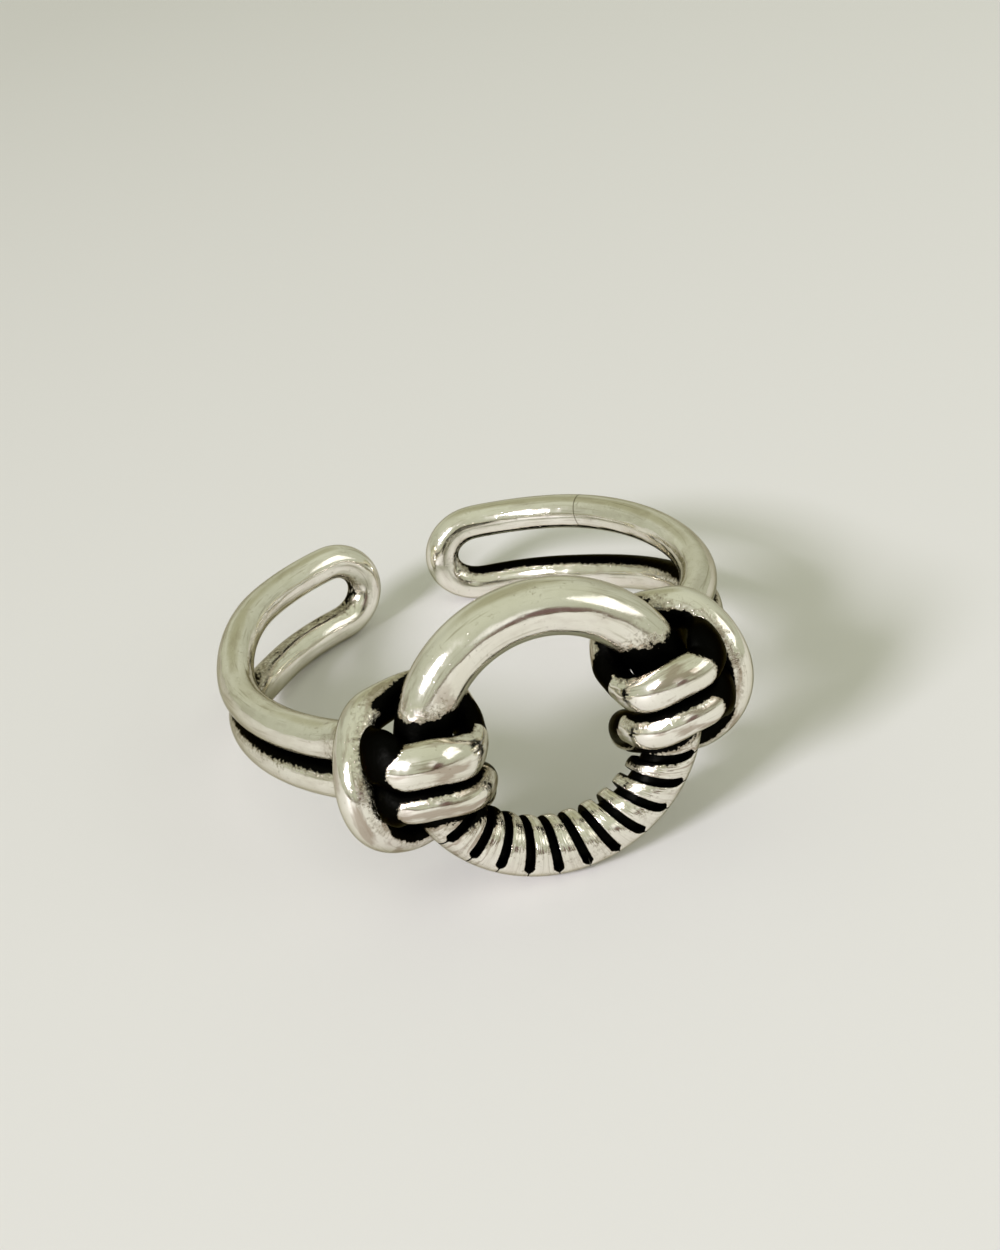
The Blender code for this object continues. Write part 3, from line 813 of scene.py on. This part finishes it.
def silver_material(name, darkness=0.0, seam=None):
    """Polished silver, blackened where its recess value is high, with gritty polish edges.

    seam is a place along the wire, in mm, where its two ends were soldered.
    """
    material = bpy.data.materials.new(name)
    material.use_nodes = True
    graph = Graph(material.node_tree)
    shader = graph.nodes["Principled BSDF"]
    where = graph.add("TexCoord").outputs["Object"]
    recess, grain, stain = (graph.add("Attribute", attribute_name=key)
                            for key in ("recess", "grain", "stain"))

    def streaks(size, detail):
        """Noise drawn out along the wire, with features of a length and a width."""
        length, width = size
        factors = (1.0 / length, STRAND_R / width, STRAND_R / width)
        return graph.noise(graph.stretched(grain.outputs["Vector"], factors), 1.0, detail, 0.5)

    grit = graph.centred(graph.noise(where, GRIT_SCALE, 3.0, 0.7), GRIT)
    drift = graph.centred(graph.noise(where, DRIFT_SCALE, 1.0), DRIFT)
    depth = graph.maths("ADD", graph.maths("ADD", recess.outputs["Fac"], grit),
                        graph.maths("ADD", drift, darkness))
    black = graph.between(depth, BLACK_FROM - BLACK_EDGE, BLACK_FROM + BLACK_EDGE)
    tarnish = graph.between(depth, TARNISH_FROM, BLACK_FROM)
    cloud = graph.between(graph.noise(where, CLOUD_SCALE, 3.0), *CLOUD_VALUES)
    grime = graph.between(streaks(GRIME_STREAK, 3.0), *GRIME_VALUES)
    blotch = graph.between(streaks(STAIN_STREAK, 3.0), *STAIN_VALUES)
    blotch = graph.maths("MULTIPLY", blotch, graph.maths("ADD", stain.outputs["Fac"], STAIN_PLAIN))

    colour = graph.blend(cloud, SILVER, SILVER_DULLER)
    for amount, share, over in ((grime, GRIME_SHARE, GRIME), (blotch, STAIN_SHARE, STAIN),
                                (tarnish, TARNISH_SHARE, TARNISH)):
        colour = graph.blend(graph.maths("MULTIPLY", amount, share), colour, over)
    if seam:
        slant = graph.maths("MULTIPLY", graph.part(grain.outputs["Vector"], "Z"), SEAM_SLANT)
        place = graph.maths("ADD", graph.part(grain.outputs["Vector"], "X"), slant)
        off_seam = graph.maths("ABSOLUTE", graph.maths("SUBTRACT", place, seam))
        line = graph.between(off_seam, SEAM_HALF, SEAM_FADED, SEAM_SHARE, 0.0)
        colour = graph.blend(line, colour, SEAM_COLOUR)
    graph.feed(shader.inputs["Base Color"], graph.blend(black, colour, BLACK))
    graph.feed(shader.inputs["Metallic"], 1.0)
    graph.feed(shader.inputs["Specular Tint"], EDGE_TINT)
    polish = graph.between(graph.noise(where, POLISH_SCALE, 3.0), *POLISH_VALUES, *POLISH)
    dull = graph.maths("MULTIPLY", black, BLACK_ROUGHER)
    graph.feed(shader.inputs["Roughness"], graph.maths("ADD", polish, dull))

    deep = graph.between(depth, PITS_FROM, BLACK_FROM)
    pits = graph.maths("MULTIPLY", graph.noise(where, PITS_SCALE, 3.0), deep)
    height = 0.0
    for texture, amount in ((graph.noise(where, WAVES_SCALE, 1.0), WAVES_BUMP),
                            (streaks(FORGED_STREAK, 1.0), FORGED_BUMP),
                            (graph.noise(where, FINE_SCALE, 2.0), FINE_BUMP), (pits, PITS_BUMP)):
        height = graph.maths("ADD", height, graph.maths("MULTIPLY", texture, amount))
    bump = graph.add("Bump")
    graph.feed(bump.inputs["Strength"], 1.0)
    graph.feed(bump.inputs["Distance"], BUMP_HEIGHT)
    graph.feed(bump.inputs["Height"], height)
    graph.feed(shader.inputs["Normal"], bump.outputs["Normal"])
    return material


# ---------------------------------------------------------------- studio

def floor():
    """Flat pale sheet whose colour is painted light falloff: darker towards its far left, as
    painted shade.
    """
    s = FLOOR_HALF
    mesh = bpy.data.meshes.new("floor")
    mesh.from_pydata([(-s, -s, 0.0), (s, -s, 0.0), (s, s, 0.0), (-s, s, 0.0)], [], [(0, 1, 2, 3)])
    sheet = bpy.data.objects.new("floor", mesh)
    bpy.context.collection.objects.link(sheet)
    material = bpy.data.materials.new("pale_sheet")
    material.use_nodes = True
    graph = Graph(material.node_tree)
    shader = graph.nodes["Principled BSDF"]
    # painted light falloff: the colour blends from painted shade to painted light along the floor
    slope = graph.along(graph.add("TexCoord").outputs["Object"], PAINTED_FALLOFF_WAY)
    painted_falloff = graph.between(slope, *PAINTED_FALLOFF_ENDS, interpolation="LINEAR")
    graph.feed(shader.inputs["Base Color"], graph.blend(painted_falloff, FLOOR_SHADE_PAINTED, FLOOR_LIGHT_PAINTED))
    graph.feed(shader.inputs["Roughness"], FLOOR_ROUGHNESS)
    mesh.materials.append(material)


def towards(azimuth, elevation, distance=1.0):
    """Place seen from the object at an azimuth, 0 at the front and 90 at its right."""
    a, e = math.radians(azimuth), math.radians(elevation)
    return Vector((math.sin(a) * math.cos(e), -math.cos(a) * math.cos(e), math.sin(e))) * distance


def softbox(name, place, size, power, colour):
    """A rectangular light that faces the object."""
    light = bpy.data.lights.new(name, "AREA")
    light.shape = "RECTANGLE"
    light.size, light.size_y = size
    light.energy = power
    light.color = colour
    lamp = bpy.data.objects.new(name, light)
    lamp.location = place
    lamp.rotation_euler = place.to_track_quat("Z", "Y").to_euler()
    bpy.context.collection.objects.link(lamp)


def world_light():
    """A pale room, darker and warmer low down in front; the camera itself sees a plain backdrop."""
    world = bpy.data.worlds.new("room")
    bpy.context.scene.world = world
    world.use_nodes = True
    graph = Graph(world.node_tree)
    where = graph.add("TexCoord").outputs["Generated"]

    def cone(direction, inner, outer):
        """1 up to the inner angle from a direction, 0 from the outer one, in degrees."""
        cosine = graph.along(where, Vector(direction).normalized())
        return graph.between(cosine, math.cos(math.radians(outer)), math.cos(math.radians(inner)))

    def below(full, none):
        """1 up to the elevation full, 0 from the elevation none up, in degrees."""
        height = graph.part(where, "Z")
        return graph.between(height, math.sin(math.radians(none)), math.sin(math.radians(full)))

    room = ROOM
    for direction, inner, outer, colour in (
            ((0.0, 0.0, 1.0), 10.0, 75.0, CEILING),
            ((0.0, 1.0, 0.15), 12.0, 42.0, BACK_WALL),
            ((0.0, 1.0, 1.0), 12.0, 34.0, HIGH_AT_BACK),
            (towards(2.0, 24.0), 4.0, 13.0, BRIGHT_IN_FRONT),
            (towards(12.0, 9.0), 6.0, 15.0, DARK_IN_FRONT)):
        room = graph.blend(cone(direction, inner, outer), room, colour)
    low_front = graph.maths("MULTIPLY", below(0.5, 8.0), cone((-0.10, -1.0, 0.0), 40.0, 85.0))
    room = graph.blend(low_front, room, LOW_IN_FRONT)
    seen = graph.add("LightPath").outputs["Is Camera Ray"]
    background = graph.nodes["Background"]
    graph.feed(background.inputs["Color"], graph.blend(seen, room, BACKDROP))
    graph.feed(background.inputs["Strength"], 1.0)


def camera():
    turn = BAND.to_3x3()
    forward, up = turn @ Vector(CAMERA_FORWARD), turn @ Vector(CAMERA_UP)
    right = forward.cross(up).normalized()
    up = right.cross(forward).normalized()
    matrix = Matrix((right, up, -forward.normalized())).transposed().to_4x4()
    matrix.translation = BAND @ (Vector(CAMERA_PLACE) * MM)
    data = bpy.data.cameras.new("camera")
    data.lens = CAMERA_LENS
    data.sensor_fit = "VERTICAL"
    data.sensor_height = CAMERA_SENSOR
    data.clip_start = CAMERA_CLIP
    view = bpy.data.objects.new("camera", data)
    view.matrix_world = matrix
    bpy.context.collection.objects.link(view)
    bpy.context.scene.camera = view


def main():
    camera()
    ring = centre_ring()
    binding = binding_wire()
    left = hitched_loop("left_loop", LEFT, "left_side")
    right = hitched_loop("right_loop", RIGHT, "right_side")
    mark_recesses({ring: (kept_black_ring, rubbed_nowhere),
                   binding: (kept_black_binding, rubbed_nowhere), **left, **right})
    polished = silver_material("polished_silver")
    bound = silver_material("bound_silver_fine", darkness=BINDING_DARKER)
    seamed = silver_material("polished_silver_seamed", seam=SEAM)
    for piece in [ring, *left, *right]:
        piece.data.materials.append(seamed if piece.name == "right_loop_wire" else polished)
    binding.data.materials.append(bound)
    floor()
    world_light()
    softbox("window", place=towards(-58.0, 30.0, 0.7), size=(0.15, 0.15), power=4.7,
            colour=(0.92, 0.88, 1.0))
    softbox("second_window", place=towards(57.0, 32.0, 0.5), size=(0.32, 0.22), power=0.21,
            colour=(1.0, 0.98, 1.0))
    bpy.context.scene.view_settings.view_transform = "Standard"


main()
